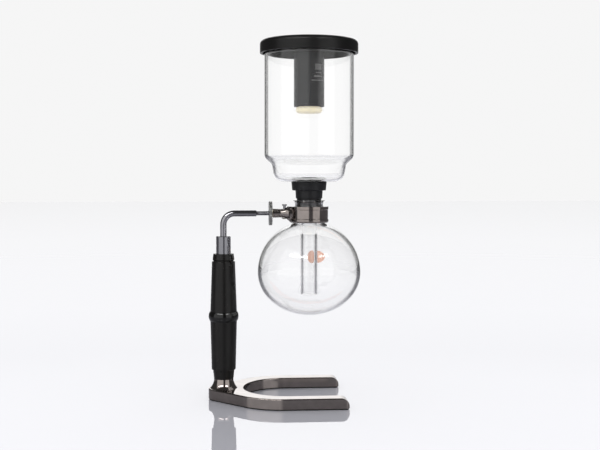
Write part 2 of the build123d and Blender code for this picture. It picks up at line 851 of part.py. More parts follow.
# ---------------------------------------------------------------- filter
with BuildPart() as filter_cloth:
    cloth_half = (cloth_top - cloth_bottom) / 2
    cloth_middle = cloth_bottom + cloth_half
    with BuildSketch(Plane.XZ):
        with BuildLine():
            under = Line((0, cloth_bottom), (cloth_radius - cloth_half, cloth_bottom))
            edge_roll = CenterArc((cloth_radius - cloth_half, cloth_middle), cloth_half, -90, 180)
            Polyline(edge_roll @ 1, (0, cloth_top), under @ 0)
        make_face()
    revolve(axis=Axis.Z)
    with BuildSketch(Plane.XY.offset(cloth_bottom + cloth_thickness)):
        Circle(disc_radius)
    extrude(amount=cloth_top - cloth_bottom - 2 * cloth_thickness, mode=Mode.SUBTRACT)
    with BuildSketch(Plane.XY.offset(cloth_middle)):
        Circle(cloth_mouth_radius)
    extrude(amount=cloth_half, mode=Mode.SUBTRACT)
filter_cloth.part.label = "filter_cloth"
export_step(filter_cloth.part, "parts/filter_cloth.step")

disc_bottom = cloth_bottom + cloth_thickness
with BuildPart() as filter_disc:
    with BuildSketch(Plane.XY.offset(disc_bottom)):
        Circle(disc_radius)
        for ring_radius, hole_count in disc_hole_rings:
            with PolarLocations(ring_radius, hole_count):
                Circle(disc_hole_radius, mode=Mode.SUBTRACT)
    extrude(amount=disc_thickness)
filter_disc.part.label = "filter_disc"
export_step(filter_disc.part, "parts/filter_disc.step")

with BuildPart() as filter_cover:
    cover_bottom = cloth_top - cloth_thickness - disc_thickness
    section = profile(
        (
            (filter_post_radius, cover_bottom),
            (disc_radius, cover_bottom),
            (disc_radius, cloth_top - cloth_thickness),
            (filter_post_radius, cloth_top - cloth_thickness),
        )
    )
    revolve(section, axis=Axis.Z)
filter_cover.part.label = "filter_cover"
export_step(filter_cover.part, "parts/filter_cover.step")

with BuildPart() as filter_post:
    with BuildSketch(Plane.XY.offset(disc_bottom + disc_thickness)):
        Circle(filter_post_radius)
    extrude(amount=filter_post_top - disc_bottom - disc_thickness)
    fillet(filter_post.edges().group_by(Axis.Z)[-1], filter_post_rounding)
filter_post.part.label = "filter_post"
export_step(filter_post.part, "parts/filter_post.step")

with BuildPart() as filter_spring:
    with BuildLine() as coil:
        Helix(spring_pitch, spring_height, spring_radius, center=(0, 0, filter_post_top))
    with BuildSketch(Plane(origin=coil.line @ 0, z_dir=coil.line % 0)):
        Circle(spring_wire_radius)
    sweep()
filter_spring.part.label = "filter_spring"
export_step(filter_spring.part, "parts/filter_spring.step")


def chain_point(index):
    """The centre of one bead: the chain winds outwards from the spring and then round and up."""
    run = index * bead_step
    angle = run / chain_coil_radius
    radius = chain_coil_radius * math.sin(min(run / chain_lead, 1.0) * math.pi / 2)
    height = filter_post_top + spring_height + 2 * bead_radius + chain_climb * run
    return Vector(radius * math.cos(angle), radius * math.sin(angle), height)


with BuildPart() as filter_chain:
    with Locations([chain_point(index) for index in range(bead_count)]):
        Sphere(bead_radius)
filter_chain.part.label = "filter_chain"
export_step(filter_chain.part, "parts/filter_chain.step")

with BuildPart() as filter_hook:
    chain_end = chain_point(bead_count - 1)
    hook_top = chain_end + Vector(0, 0, bead_radius)
    with BuildLine() as hook_path:
        shank = Line(hook_top, hook_top + Vector(0, 0, hook_leg))
        inward = Vector(-chain_end.X, -chain_end.Y, 0).normalized()
        crook = ThreePointArc(
            shank @ 1,
            shank @ 1 + inward * hook_bend_radius + Vector(0, 0, hook_bend_radius),
            shank @ 1 + inward * (2 * hook_bend_radius),
        )
        Line(crook @ 1, crook @ 1 - Vector(0, 0, hook_leg / 2))
    with BuildSketch(Plane(origin=hook_top, z_dir=(0, 0, 1))):
        Circle(hook_wire_radius)
    sweep()
filter_hook.part.label = "filter_hook"
export_step(filter_hook.part, "parts/filter_hook.step")
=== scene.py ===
"""Looks of a siphon coffee maker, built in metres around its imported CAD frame.

Glass, cloth, prints and wear are made here; the CAD nodes that stay get their real finishes.
"""

import logging
import math
from dataclasses import dataclass, field
from enum import Enum
from typing import Iterable, Sequence

import bmesh
import bpy
import numpy as np
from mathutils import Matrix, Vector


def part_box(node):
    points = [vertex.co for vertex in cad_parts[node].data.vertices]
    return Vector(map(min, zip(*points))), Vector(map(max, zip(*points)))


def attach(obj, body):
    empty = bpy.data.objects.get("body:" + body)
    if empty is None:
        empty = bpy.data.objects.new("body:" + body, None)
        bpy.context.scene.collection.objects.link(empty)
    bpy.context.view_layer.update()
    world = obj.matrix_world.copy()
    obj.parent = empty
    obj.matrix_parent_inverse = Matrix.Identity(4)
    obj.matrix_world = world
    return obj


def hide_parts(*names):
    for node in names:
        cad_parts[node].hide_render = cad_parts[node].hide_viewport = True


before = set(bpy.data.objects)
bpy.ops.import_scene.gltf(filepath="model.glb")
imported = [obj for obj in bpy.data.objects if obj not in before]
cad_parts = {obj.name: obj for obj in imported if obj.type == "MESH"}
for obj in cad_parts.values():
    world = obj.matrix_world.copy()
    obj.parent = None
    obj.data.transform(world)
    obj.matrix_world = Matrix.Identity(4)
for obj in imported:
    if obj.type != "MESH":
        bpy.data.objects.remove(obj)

MM = 0.001                                   # one millimetre in scene units
PRINT_LIFT = 0.01 * MM                       # gap between a print and what it is printed on
LOG = logging.getLogger("siphon")


class BodyName(Enum):
    """The CAD bodies that pieces ride on."""

    STAND = "stand"
    CHAMBER = "upper_chamber"
    LID = "lid"
    FILTER = "filter"


class Spread(Enum):
    """How a noise pattern's lumps lie on a surface."""

    EVEN = (1.0, 1.0, 1.0)
    ALONG_Z = (1.0, 1.0, 0.06)


# ------------------------------------------------------------------ colour and node helpers
def linear(hex_code: str) -> tuple[float, float, float, float]:
    """Turns an sRGB hex colour into linear light.

    Args:
        hex_code: six hex digits, such as "c87a5a".

    Returns:
        Red, green, blue and an alpha of 1.
    """
    channels = [int(hex_code[i:i + 2], 16) / 255 for i in (0, 2, 4)]
    lit = [c / 12.92 if c <= 0.04045 else ((c + 0.055) / 1.055) ** 2.4 for c in channels]
    return (lit[0], lit[1], lit[2], 1.0)


def add_node(tree: bpy.types.NodeTree, kind: str, settings: dict | None = None,
             inputs: dict | None = None) -> bpy.types.Node:
    """Adds one shader node with its settings, values and links.

    Args:
        tree: the node tree.
        kind: the node's type without its "ShaderNode" prefix.
        settings: node properties by name.
        inputs: values, or output sockets to link, by input name or index.

    Returns:
        The new node.
    """
    node = tree.nodes.new("ShaderNode" + kind)
    for key, value in (settings or {}).items():
        setattr(node, key, value)
    for key, value in (inputs or {}).items():
        if isinstance(value, bpy.types.NodeSocket):
            tree.links.new(value, node.inputs[key])
        else:
            node.inputs[key].default_value = value
    return node


def object_pattern(tree: bpy.types.NodeTree, scale: Sequence[float]) -> bpy.types.NodeSocket:
    """Object coordinates, scaled.

    Args:
        tree: the node tree.
        scale: pattern repeats for each metre, along X, Y and Z.

    Returns:
        The vector socket to feed a texture.
    """
    coords = add_node(tree, "TexCoord")
    scaled = add_node(tree, "Mapping", {"vector_type": "POINT"}, {
        0: coords.outputs["Object"], "Scale": tuple(scale),
    })
    return scaled.outputs[0]


def noise(tree: bpy.types.NodeTree, size_mm: float, spread: Spread = Spread.EVEN,
          detail: float = 3.0) -> bpy.types.NodeSocket:
    """A noise pattern whose lumps are about size_mm across.

    Args:
        tree: the node tree.
        size_mm: the size of a lump in millimetres.
        spread: how the lumps are drawn out.
        detail: octaves of finer noise.

    Returns:
        The noise's value socket, about 0 to 1.
    """
    repeats = 1.0 / (size_mm * MM)
    vector = object_pattern(tree, [repeats * s for s in spread.value])
    node = add_node(tree, "TexNoise", None, {"Vector": vector, "Scale": 1.0, "Detail": detail})
    return node.outputs["Fac"]


def remap(tree: bpy.types.NodeTree, value: bpy.types.NodeSocket, low: float,
          high: float, from_low: float = 0.3, from_high: float = 0.7) -> bpy.types.NodeSocket:
    """Stretches value from one range to another, clamped.

    Args:
        tree: the node tree.
        value: the socket to stretch.
        low: the result at from_low.
        high: the result at from_high.
        from_low: lower end of the input range.
        from_high: upper end of the input range.

    Returns:
        The stretched value's socket.
    """
    node = add_node(tree, "MapRange", {"clamp": True}, {
        0: value, 1: from_low, 2: from_high, 3: low, 4: high,
    })
    return node.outputs[0]


def blend_colours(tree: bpy.types.NodeTree, share: bpy.types.NodeSocket, first: str,
                  second: str) -> bpy.types.NodeSocket:
    """Mixes two hex colours by share.

    Args:
        tree: the node tree.
        share: 0 for the first colour, 1 for the second.
        first: sRGB hex colour.
        second: sRGB hex colour.

    Returns:
        The mixed colour's socket.
    """
    node = add_node(tree, "Mix", {"data_type": "RGBA"}, {
        0: share, 6: linear(first), 7: linear(second),
    })
    return node.outputs[2]


def bump(tree: bpy.types.NodeTree, height: bpy.types.NodeSocket, depth_mm: float,
         strength: float = 1.0) -> bpy.types.NodeSocket:
    """Turns a height pattern into a normal.

    Args:
        tree: the node tree.
        height: the pattern, 0 to 1.
        depth_mm: how deep the pattern is.
        strength: how much of it shows.

    Returns:
        The normal's socket.
    """
    node = add_node(tree, "Bump", None, {
        "Height": height, "Distance": depth_mm * MM, "Strength": strength,
    })
    return node.outputs[0]


# ------------------------------------------------------------------ finishes
@dataclass(frozen=True)
class Finish:
    """A surface finish: its material is made once and shared."""

    name: str

    def dress(self, tree: bpy.types.NodeTree, surface: bpy.types.Node) -> None:
        """Sets up the surface; each finish says how."""
        raise NotImplementedError

    def material(self) -> bpy.types.Material:
        """The finish's material, made on first use.

        Returns:
            The material.
        """
        made = bpy.data.materials.get(self.name)
        if made is not None:
            return made
        made = bpy.data.materials.new(self.name)
        made.use_nodes = True
        tree = made.node_tree
        tree.nodes.clear()
        surface = add_node(tree, "BsdfPrincipled")
        add_node(tree, "OutputMaterial", None, {"Surface": surface.outputs[0]})
        self.dress(tree, surface)
        return made


@dataclass(frozen=True)
class PolishedMetal(Finish):
    """Metal polished or plated to a mirror, with faint waviness and fine wipe marks.

    A bright sheet of light reads as a clean strip with slightly soft edges.
    """

    colour: str = "8f8c90"
    tarnish: str = "7f7a78"
    gloss: float = 0.12
    dull: float = 0.2
    spread: Spread = Spread.EVEN
    wave_mm: float = 9.0
    mark_mm: float = 0.7
    mark_depth_mm: float = 0.004

    def dress(self, tree: bpy.types.NodeTree, surface: bpy.types.Node) -> None:
        """Metal whose colour drifts slowly and whose roughness follows fine marks."""
        drift = noise(tree, self.wave_mm, self.spread)
        marks = noise(tree, self.mark_mm, self.spread, detail=4.0)
        tone = blend_colours(tree, remap(tree, drift, 0.0, 1.0), self.colour, self.tarnish)
        tree.links.new(tone, surface.inputs["Base Color"])
        tree.links.new(remap(tree, marks, self.gloss, self.dull), surface.inputs["Roughness"])
        tree.links.new(bump(tree, marks, self.mark_depth_mm, 0.35), surface.inputs["Normal"])
        surface.inputs["Metallic"].default_value = 1.0


@dataclass(frozen=True)
class MouldedPlastic(Finish):
    """Injection-moulded thermoplastic: fine spark-eroded grain and faint handling sheen."""

    colour: str = "201f1d"
    worn: str = "2b2a27"
    gloss: float = 0.32
    dull: float = 0.45
    grain_mm: float = 0.55                    # real grain is 0.1 mm, drawn coarser to show
    grain_depth_mm: float = 0.03
    spread: Spread = Spread.EVEN
    sheen: float = 0.3                        # how much light its face gives back
    coat: float = 0.0

    def dress(self, tree: bpy.types.NodeTree, surface: bpy.types.Node) -> None:
        """Dark plastic with grain in its bump and slow changes in its gloss."""
        grain = noise(tree, self.grain_mm, self.spread, detail=2.0)
        handling = noise(tree, 14.0, self.spread)
        tone = blend_colours(tree, remap(tree, handling, 0.0, 1.0), self.colour, self.worn)
        tree.links.new(tone, surface.inputs["Base Color"])
        tree.links.new(remap(tree, handling, self.dull, self.gloss), surface.inputs["Roughness"])
        tree.links.new(bump(tree, grain, self.grain_depth_mm, 0.5), surface.inputs["Normal"])
        surface.inputs["IOR"].default_value = 1.49
        surface.inputs["Specular IOR Level"].default_value = self.sheen
        surface.inputs["Coat Weight"].default_value = self.coat
        surface.inputs["Coat Roughness"].default_value = 0.08


@dataclass(frozen=True)
class MouldedRubber(Finish):
    """Vulcanised rubber: soft sheen, fine pitting and pale bloom in patches."""

    colour: str = "1f2023"
    bloom: str = "2b2c30"
    gloss: float = 0.38
    dull: float = 0.62
    pit_mm: float = 0.9                       # real pits are 0.2 mm, drawn coarser to show

    def dress(self, tree: bpy.types.NodeTree, surface: bpy.types.Node) -> None:
        """Rubber with pits in its bump and bloom in its colour and gloss."""
        patches = noise(tree, 6.0)
        pits = noise(tree, self.pit_mm, detail=2.0)
        tone = blend_colours(tree, remap(tree, patches, 0.0, 1.0), self.colour, self.bloom)
        tree.links.new(tone, surface.inputs["Base Color"])
        tree.links.new(remap(tree, patches, self.gloss, self.dull), surface.inputs["Roughness"])
        tree.links.new(bump(tree, pits, 0.04, 0.5), surface.inputs["Normal"])
        surface.inputs["IOR"].default_value = 1.52
        surface.inputs["Specular IOR Level"].default_value = 0.35


@dataclass(frozen=True)
class BorosilicateGlass(Finish):
    """Lamp-blown borosilicate: clear face-on, with painted grey shade where sight runs along the
    wall.

    Its surface has the long faint waves of hand-worked glass.
    """

    clear: str = "ffffff"
    # painted shade: the dark grey the glass is given towards its edges
    edge: str = "181919"
    painted_shade_start: float = 0.66
    painted_shade_full: float = 0.77
    painted_line_from: float = -1.0                   # heights between which the painted dark edge line comes in
    painted_line_to: float = -0.5

    def dress(self, tree: bpy.types.NodeTree, surface: bpy.types.Node) -> None:
        """Glass with painted shade that darkens it towards its edges above a given height,
        standing in for a thick wall seen along its length.
        """
        # painted shade: the base colour turns dark grey where the wall is seen edge-on, only above
        # the given heights
        facing = add_node(tree, "LayerWeight", None, {"Blend": 0.5})
        share = remap(tree, facing.outputs["Facing"], 0.0, 1.0, self.painted_shade_start, self.painted_shade_full)
        place = add_node(tree, "SeparateXYZ", None, {0: object_pattern(tree, (1.0, 1.0, 1.0))})
        drawn = remap(tree, place.outputs["Z"], 0.0, 1.0, self.painted_line_from, self.painted_line_to)
        share = add_node(tree, "Math", {"operation": "MULTIPLY"}, {0: share, 1: drawn})
        tone = blend_colours(tree, share.outputs[0], self.clear, self.edge)
        waves = noise(tree, 38.0, detail=1.0)
        tree.links.new(tone, surface.inputs["Base Color"])
        tree.links.new(bump(tree, waves, 0.05, 0.1), surface.inputs["Normal"])
        surface.inputs["Transmission Weight"].default_value = 1.0
        surface.inputs["Specular IOR Level"].default_value = 0.2
        surface.inputs["Roughness"].default_value = 0.0
        surface.inputs["IOR"].default_value = 1.47


@dataclass(frozen=True)
class CottonFlannel(Finish):
    """Brushed cotton flannel: a plain weave under a short nap, cream, matt with a soft rim."""

    warp: str = "fdf3d8"
    weft: str = "f0dfb4"
    painted_glow: float = 0.48                        # painted light: a glow standing in for light that reaches the cloth through the glass
    thread_mm: float = 0.9                    # real threads lie 0.4 mm apart, drawn coarser

    def dress(self, tree: bpy.types.NodeTree, surface: bpy.types.Node) -> None:
        """Two crossed thread waves for the weave, and noise for the nap."""
        repeats = 1.0 / (self.thread_mm * MM)
        vector = object_pattern(tree, (repeats, repeats, repeats))
        split = add_node(tree, "SeparateXYZ", None, {0: vector})
        waves = []
        for axis in ("X", "Y"):
            angle = add_node(tree, "Math", {"operation": "MULTIPLY"},
                             {0: split.outputs[axis], 1: math.tau})
            waves.append(add_node(tree, "Math", {"operation": "SINE"}, {0: angle.outputs[0]}))
        weave = add_node(tree, "Math", {"operation": "MULTIPLY"},
                         {0: waves[0].outputs[0], 1: waves[1].outputs[0]})
        nap = noise(tree, 1.6, detail=5.0)
        height = add_node(tree, "Math", {"operation": "MULTIPLY_ADD"},
                          {0: weave.outputs[0], 1: 0.25, 2: nap})
        tone = blend_colours(tree, remap(tree, height.outputs[0], 0.0, 1.0), self.weft, self.warp)
        tree.links.new(tone, surface.inputs["Base Color"])
        tree.links.new(bump(tree, height.outputs[0], 0.25, 0.8), surface.inputs["Normal"])
        surface.inputs["Roughness"].default_value = 0.95
        # painted light: the cloth glows in its warp colour
        surface.inputs["Emission Color"].default_value = linear(self.warp)
        surface.inputs["Emission Strength"].default_value = self.painted_glow
        surface.inputs["Subsurface Weight"].default_value = 0.4
        surface.inputs["Subsurface Radius"].default_value = (1.0, 0.9, 0.7)
        surface.inputs["Subsurface Scale"].default_value = 2.0 * MM
        surface.inputs["Sheen Weight"].default_value = 0.4
        surface.inputs["Sheen Roughness"].default_value = 0.5


@dataclass(frozen=True)
class FiredEnamel(Finish):
    """Enamel ink fired on glass: matt, a little uneven in tone, with pinholes in its bump."""

    ink: str = "c98f76"
    thin: str = "d9a993"
    painted_glow: float = 0.0                         # painted light: a glow standing in for light that reaches the ink through the glass

    def dress(self, tree: bpy.types.NodeTree, surface: bpy.types.Node) -> None:
        """Ink that thins in patches."""
        patches = noise(tree, 1.5, detail=4.0)
        tone = blend_colours(tree, remap(tree, patches, 0.0, 1.0), self.ink, self.thin)
        tree.links.new(tone, surface.inputs["Base Color"])
        tree.links.new(remap(tree, patches, 0.45, 0.6), surface.inputs["Roughness"])
        tree.links.new(bump(tree, patches, 0.02, 0.4), surface.inputs["Normal"])
        # painted light: the ink glows in its thin colour
        surface.inputs["Emission Color"].default_value = linear(self.thin)
        surface.inputs["Emission Strength"].default_value = self.painted_glow


BLACK_NICKEL = PolishedMetal("black_nickel_plated_zinc", "928a86", "857e7a", 0.03, 0.07,
                             mark_depth_mm=0.001)
FERRULE_STEEL = PolishedMetal("polished_stainless_steel", "8c8c90", "828286", 0.05, 0.1,
                              Spread.ALONG_Z, mark_depth_mm=0.001)
ROD_STEEL = PolishedMetal("polished_steel_rod", "949397", "88878b", 0.05, 0.1,
                          mark_depth_mm=0.001)
NUT_STEEL = PolishedMetal("satin_steel_nut", "b4b4b2", "a5a5a3", 0.25, 0.36)
ZINC_STEEL = PolishedMetal("zinc_plated_steel", "a3a29a", "8f8d7c", 0.25, 0.42)
FILTER_STEEL = PolishedMetal("stainless_filter_steel", "a9a8a4", "93918c", 0.18, 0.34)
TURNED_BRASS = PolishedMetal("turned_brass", "b08d4c", "93723b", 0.2, 0.35, Spread.ALONG_Z)
GRIP_PLASTIC = MouldedPlastic("satin_black_phenolic", "0c0b0a", "13110f", 0.26, 0.36)
RING_PLASTIC = MouldedPlastic("gloss_black_phenolic", "0a0a0a", "100f0e", 0.08, 0.12,
                              grain_depth_mm=0.003, coat=0.15)
LID_PLASTIC = MouldedPlastic("black_polypropylene", "090908", "100f0f", 0.34, 0.44)
SLEEVE_PLASTIC = MouldedPlastic("dark_grey_polypropylene", "121215", "19191c", 0.2, 0.27,
                                sheen=0.18, spread=Spread.ALONG_Z)
STOPPER_RUBBER = MouldedRubber("moulded_black_rubber", "101113", "18191c", 0.36, 0.5)
PAD_RUBBER = MouldedRubber("black_pad_rubber", "0e0e0e", "171717", 0.55, 0.75)
LINER_RUBBER = MouldedRubber("silicone_liner", "131314", "1d1d1e", 0.4, 0.55)
# painted shade on both glasses: dark edge lines, drawn only above the given heights
CHAMBER_GLASS = BorosilicateGlass("lamp_blown_chamber_glass", painted_line_from=0.211, painted_line_to=0.224)
FLASK_GLASS = BorosilicateGlass("lamp_blown_flask_glass", edge="262727", painted_line_from=0.083,
                                painted_line_to=0.1)
FLANNEL = CottonFlannel("cotton_flannel")
# painted light: the oval print glows
DECAL_ENAMEL = FiredEnamel("terracotta_enamel", painted_glow=0.85)
PRINT_INK = FiredEnamel("pale_grey_print", "7b7a79", "8f8e8c")


# ------------------------------------------------------------------ surfaces
def arc(centre: tuple[float, float], radii: tuple[float, float], start: float, end: float,
        count: int) -> np.ndarray:
    """Points on an elliptical arc: centre + (rx cos a, rz sin a), a from start to end degrees.

    Args:
        centre: radius and height of the centre.
        radii: half axes.
        start: first angle in degrees.
        end: last angle in degrees.
        count: number of points.

    Returns:
        An array of count rows of (radius, height).
    """
    angle = np.radians(np.linspace(start, end, count))
    return np.column_stack((centre[0] + radii[0] * np.cos(angle),
                            centre[1] + radii[1] * np.sin(angle)))


def rounded(corners: Iterable[tuple[float, float, float]], steps: int = 7,
            closed: bool = False) -> np.ndarray:
    """A run of straight lines whose corners are rounded by tangent arcs.

    Each corner is (radius, height, rounding). The arc leaves each side at
    rounding * tan(turn / 2) from the corner and turns about a centre on the bisector.

    Args:
        corners: the corners in order.
        steps: points on each arc.
        closed: whether the last corner joins the first.

    Returns:
        An array of (radius, height) rows.
    """
    data = np.array(list(corners), float)
    spots, rounding = data[:, :2], data[:, 2]
    count = len(spots)
    pieces = []
    for i in range(count):
        inner = closed or 0 < i < count - 1
        if not inner or rounding[i] <= 0:
            pieces.append(spots[i][None, :])
            continue
        before = spots[i - 1] - spots[i]
        after = spots[(i + 1) % count] - spots[i]
        before /= np.linalg.norm(before)
        after /= np.linalg.norm(after)
        half = math.acos(float(np.clip(before @ after, -1, 1))) / 2
        reach = rounding[i] / math.tan(half)
        middle = (before + after) / np.linalg.norm(before + after)
        centre = spots[i] + middle * rounding[i] / math.sin(half)
        first, last = spots[i] + before * reach - centre, spots[i] + after * reach - centre
        turn = math.atan2(first[0] * last[1] - first[1] * last[0], float(first @ last))
        angle = np.linspace(0, turn, steps)
        pieces.append(centre + np.column_stack((
            first[0] * np.cos(angle) - first[1] * np.sin(angle),
            first[0] * np.sin(angle) + first[1] * np.cos(angle))))
    return np.vstack(pieces)


def supported(profile: np.ndarray, gap: float = 0.6 * MM) -> np.ndarray:
    """Adds a point close to each end of every long straight run.

    A run longer than four gaps gets points one gap from its ends, so that smooth shading
    turns only there and a long wall stays true.

    Args:
        profile: rows of (radius, height).
        gap: distance of the new points from the ends.

    Returns:
        The profile with its new points.
    """
    steps = np.diff(profile, axis=0)
    lengths = np.linalg.norm(steps, axis=1)
    ways = steps / np.maximum(lengths, 1e-12)[:, None] * gap
    triples = np.stack((profile[:-1], profile[:-1] + ways, profile[1:] - ways), axis=1)
    kept = np.column_stack((np.ones(len(steps), bool), lengths > 4 * gap, lengths > 4 * gap))
    return np.vstack((triples[kept], profile[-1:]))


def revolve(profile: np.ndarray, segments: int) -> np.ndarray:
    """Carries a (radius, height) profile round the vessels' axis.

    x = r cos a, y = r sin a, z = h, with a in equal steps round the circle.

    Args:
        profile: rows of (radius, height).
        segments: steps round the circle.

    Returns:
        A grid of points, one row for each profile point.
    """
    angle = np.linspace(0, math.tau, segments, endpoint=False)
    radius, height = profile[:, :1], profile[:, 1:]
    return np.stack((radius * np.cos(angle), radius * np.sin(angle),
                     np.broadcast_to(height, (len(profile), segments))), axis=2)


def make_piece(name: str, grid: np.ndarray, finish: Finish, wrap: tuple[bool, bool],
               sharp_degrees: float) -> bpy.types.Object:
    """Makes a mesh object of a grid of points, with its doubles merged and faces outward.

    Args:
        name: the piece's name.
        grid: points in metres, as rows, columns and coordinates.
        finish: the piece's finish.
        wrap: whether the last row joins the first, and the last column the first.
        sharp_degrees: edges that turn more than this stay sharp.

    Returns:
        The object, linked to the scene at the origin.
    """
    rows, columns = grid.shape[:2]
    index = np.arange(rows * columns).reshape(rows, columns)
    if wrap[0]:
        index = np.vstack((index, index[:1]))
    if wrap[1]:
        index = np.hstack((index, index[:, :1]))
    faces = np.stack((index[:-1, :-1], index[:-1, 1:], index[1:, 1:], index[1:, :-1]), axis=2)
    mesh = bpy.data.meshes.new(name)
    mesh.from_pydata(grid.reshape(-1, 3).tolist(), [], faces.reshape(-1, 4).tolist())
    editor = bmesh.new()
    editor.from_mesh(mesh)
    bmesh.ops.remove_doubles(editor, verts=editor.verts, dist=1e-7)
    bmesh.ops.recalc_face_normals(editor, faces=editor.faces)
    editor.to_mesh(mesh)
    editor.free()
    mesh.shade_smooth()
    mesh.set_sharp_from_angle(angle=math.radians(sharp_degrees))
    mesh.materials.append(finish.material())
    piece = bpy.data.objects.new(name, mesh)
    bpy.context.scene.collection.objects.link(piece)
    return piece


def patch(name: str, outline: tuple[np.ndarray, np.ndarray], thickness: float,
          finish: Finish) -> bpy.types.Object:
    """Makes a thin closed film from a grid of points and the outward direction at each.

    The film is the grid moved out by the thickness, joined at its border to the grid itself.

    Args:
        name: the piece's name.
        outline: the grid of points in metres, and the unit vectors pointing out.
        thickness: the film's thickness.
        finish: its finish.

    Returns:
        The piece.
    """
    inner, outward = outline
    outer = inner + outward * thickness
    ring = np.concatenate((inner[:, ::-1], outer), axis=1)
    first = ((inner[:1] + outer[:1]) / 2).mean(axis=1, keepdims=True)
    last = ((inner[-1:] + outer[-1:]) / 2).mean(axis=1, keepdims=True)
    head = np.broadcast_to(first, ring[:1].shape)
    tail = np.broadcast_to(last, ring[:1].shape)
    return make_piece(name, np.concatenate((head, ring, tail)), finish, (False, True), 30.0)


def settle(piece: bpy.types.Object, body: BodyName,
           replaced: Sequence[str] = ()) -> bpy.types.Object:
    """Makes a finished piece ride on its body and reports it.

    Args:
        piece: the finished object.
        body: the body it moves with.
        replaced: CAD nodes that it stands for.

    Returns:
        The piece.
    """
    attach(piece, body.value)
    if replaced:
        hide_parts(*replaced)
    LOG.info("made %s, %d faces, on %s", piece.name, len(piece.data.polygons), body.value)
    return piece


def dress_node(node: str, finish: Finish) -> None:
    """Gives a CAD node that stays its finish.

    Args:
        node: the node's name.
        finish: its finish.
    """
    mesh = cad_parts[node].data
    for index in range(len(mesh.materials)):
        mesh.materials[index] = finish.material()
    LOG.info("dressed %s in %s", node, finish.name)


# ------------------------------------------------------------------ sub-assemblies
@dataclass
class Stand:
    """The base, the post with its grips, and the bent rod: CAD shapes in real finishes."""

    finishes: dict[str, Finish] = field(default_factory=lambda: {
        "base_frame": BLACK_NICKEL,
        "base_pad": PAD_RUBBER,
        "base_screw": ZINC_STEEL,
        "base_washer": ZINC_STEEL,
        "tie_coupling": TURNED_BRASS,
        "lower_collar": GRIP_PLASTIC,
        "lower_grip": GRIP_PLASTIC,
        "grip_ring": RING_PLASTIC,
        "upper_grip": GRIP_PLASTIC,
        "top_collar": GRIP_PLASTIC,
        "rod_ferrule": FERRULE_STEEL,
        "grub_screw": ZINC_STEEL,
        "support_rod": ROD_STEEL,
    })

    def build(self) -> None:
        """Dresses every node of the stand."""
        for node, finish in self.finishes.items():
            dress_node(node, finish)


@dataclass
class Clamp:
    """The hinged clamp: jaws, nut, cone, pin and liners."""

    finishes: dict[str, Finish] = field(default_factory=lambda: {
        "jaw_front": BLACK_NICKEL,
        "jaw_rear": BLACK_NICKEL,
        "clamp_nut": NUT_STEEL,
        "clamp_cone": TURNED_BRASS,
        "jaw_pin": ROD_STEEL,
        "pin_clip": ZINC_STEEL,
        "liner_front": LINER_RUBBER,
        "liner_rear": LINER_RUBBER,
    })

    def build(self) -> None:
        """Dresses every node of the clamp."""
        for node, finish in self.finishes.items():
            dress_node(node, finish)


